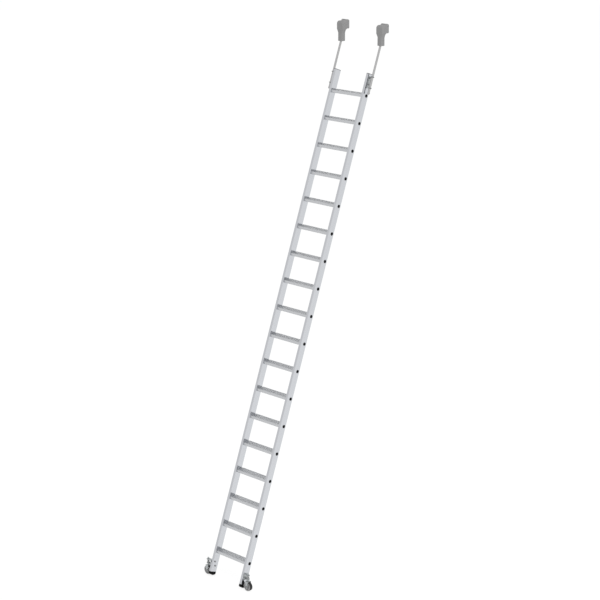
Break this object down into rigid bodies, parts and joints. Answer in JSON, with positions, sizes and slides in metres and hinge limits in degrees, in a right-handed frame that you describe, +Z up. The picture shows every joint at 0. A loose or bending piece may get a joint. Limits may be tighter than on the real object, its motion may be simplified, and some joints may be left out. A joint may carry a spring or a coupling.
{
  "type": "mobile shelf ladder",
  "caption": "Leaning aluminium shelf ladder with level treads, sprung castors beside its feet and telescopic rail heads whose rollers run along a rail above the shelf.",
  "frame": {"origin": "On the floor, midway between the two castor wheels, under their axles.", "axes": "+X to the right as the climber faces the ladder, +Y back towards the shelf, +Z up."},
  "size_m": [0.598, 1.7797, 4.8328],
  "materials": {
    "stile_aluminium": "bright extruded aluminium",
    "tread_aluminium": "grooved extruded aluminium",
    "black_plastic": "black moulded plastic",
    "foot_rubber": "black rubber",
    "cap_plastic": "dark grey moulded plastic",
    "galvanised_steel": "galvanised steel sheet",
    "zinc_fastener": "zinc plated steel",
    "spring_steel": "zinc plated spring wire",
    "rod_steel": "bright steel tube",
    "head_plastic": "grey moulded plastic",
    "roller_plastic": "black nylon",
    "wheel_plastic": "grey moulded plastic",
    "tyre_rubber": "dark rubber"
  },
  "bodies": {
    "ladder_frame": {"left_stile": "stile_aluminium", "right_stile": "stile_aluminium", "tread_01": "tread_aluminium", "tread_02": "tread_aluminium", "tread_03": "tread_aluminium", "tread_04": "tread_aluminium", "tread_05": "tread_aluminium", "tread_06": "tread_aluminium", "tread_07": "tread_aluminium", "tread_08": "tread_aluminium", "tread_09": "tread_aluminium", "tread_10": "tread_aluminium", "tread_11": "tread_aluminium", "tread_12": "tread_aluminium", "tread_13": "tread_aluminium", "tread_14": "tread_aluminium", "tread_15": "tread_aluminium", "tread_16": "tread_aluminium", "tread_17": "tread_aluminium", "tread_18": "tread_aluminium", "tread_screws": "zinc_fastener", "tread_plugs": "black_plastic", "guide_bushes": "black_plastic", "guide_bolts": "zinc_fastener", "castor_bolts": "zinc_fastener", "castor_nuts": "zinc_fastener", "left_foot": "foot_rubber", "left_end_cap": "cap_plastic", "left_guide_bracket": "galvanised_steel", "left_castor_bracket": "galvanised_steel", "left_castor_spring": "spring_steel", "right_foot": "foot_rubber", "right_end_cap": "cap_plastic", "right_guide_bracket": "galvanised_steel", "right_castor_bracket": "galvanised_steel", "right_castor_spring": "spring_steel"},
    "left_rod": {"left_rod": "rod_steel", "left_rod_stop_pin": "zinc_fastener", "left_head_pivot_pin": "zinc_fastener"},
    "left_head": {"left_head_inner_half": "head_plastic", "left_head_outer_half": "head_plastic", "left_head_screws": "zinc_fastener", "left_roller_axle": "zinc_fastener"},
    "left_roller": {"left_head_roller": "roller_plastic"},
    "left_castor": {"left_castor_fork": "galvanised_steel", "left_castor_axle": "zinc_fastener"},
    "left_wheel": {"left_castor_wheel": "wheel_plastic", "left_castor_tyre": "tyre_rubber"},
    "right_rod": {"right_rod": "rod_steel", "right_rod_stop_pin": "zinc_fastener", "right_head_pivot_pin": "zinc_fastener"},
    "right_head": {"right_head_inner_half": "head_plastic", "right_head_outer_half": "head_plastic", "right_head_screws": "zinc_fastener", "right_roller_axle": "zinc_fastener"},
    "right_roller": {"right_head_roller": "roller_plastic"},
    "right_castor": {"right_castor_fork": "galvanised_steel", "right_castor_axle": "zinc_fastener"},
    "right_wheel": {"right_castor_wheel": "wheel_plastic", "right_castor_tyre": "tyre_rubber"}
  },
  "joints": [
    {"name": "left_rod_slide", "type": "slide", "parent": "ladder_frame", "child": "left_rod", "axis": [0, 0.342, 0.9397], "range_m": [-0.26, 0.04]},
    {"name": "left_head_tilt", "type": "hinge", "parent": "left_rod", "child": "left_head", "pos_m": [-0.239, 1.67153, 4.66281], "axis": [-1, 0, 0], "range_deg": [0, 20]},
    {"name": "left_roller_spin", "type": "hinge", "parent": "left_head", "child": "left_roller", "pos_m": [-0.239, 1.71439, 4.77181], "axis": [0, 1, 0], "continuous": true},
    {"name": "left_castor_travel", "type": "slide", "parent": "ladder_frame", "child": "left_castor", "axis": [0, 0, 1], "range_m": [0, 0.014], "stiffness_N_per_m": 8000, "springref_m": -0.012, "deforming": ["left_castor_spring"]},
    {"name": "left_wheel_spin", "type": "hinge", "parent": "left_castor", "child": "left_wheel", "pos_m": [-0.259, 0, 0.04], "axis": [0, 1, 0], "continuous": true},
    {"name": "right_rod_slide", "type": "slide", "parent": "ladder_frame", "child": "right_rod", "axis": [0, 0.342, 0.9397], "range_m": [-0.26, 0.04]},
    {"name": "right_head_tilt", "type": "hinge", "parent": "right_rod", "child": "right_head", "pos_m": [0.239, 1.67153, 4.66281], "axis": [-1, 0, 0], "range_deg": [0, 20]},
    {"name": "right_roller_spin", "type": "hinge", "parent": "right_head", "child": "right_roller", "pos_m": [0.239, 1.71439, 4.77181], "axis": [0, 1, 0], "continuous": true},
    {"name": "right_castor_travel", "type": "slide", "parent": "ladder_frame", "child": "right_castor", "axis": [0, 0, 1], "range_m": [0, 0.014], "stiffness_N_per_m": 8000, "springref_m": -0.012, "deforming": ["right_castor_spring"]},
    {"name": "right_wheel_spin", "type": "hinge", "parent": "right_castor", "child": "right_wheel", "pos_m": [0.259, 0, 0.04], "axis": [0, 1, 0], "continuous": true}
  ]
}
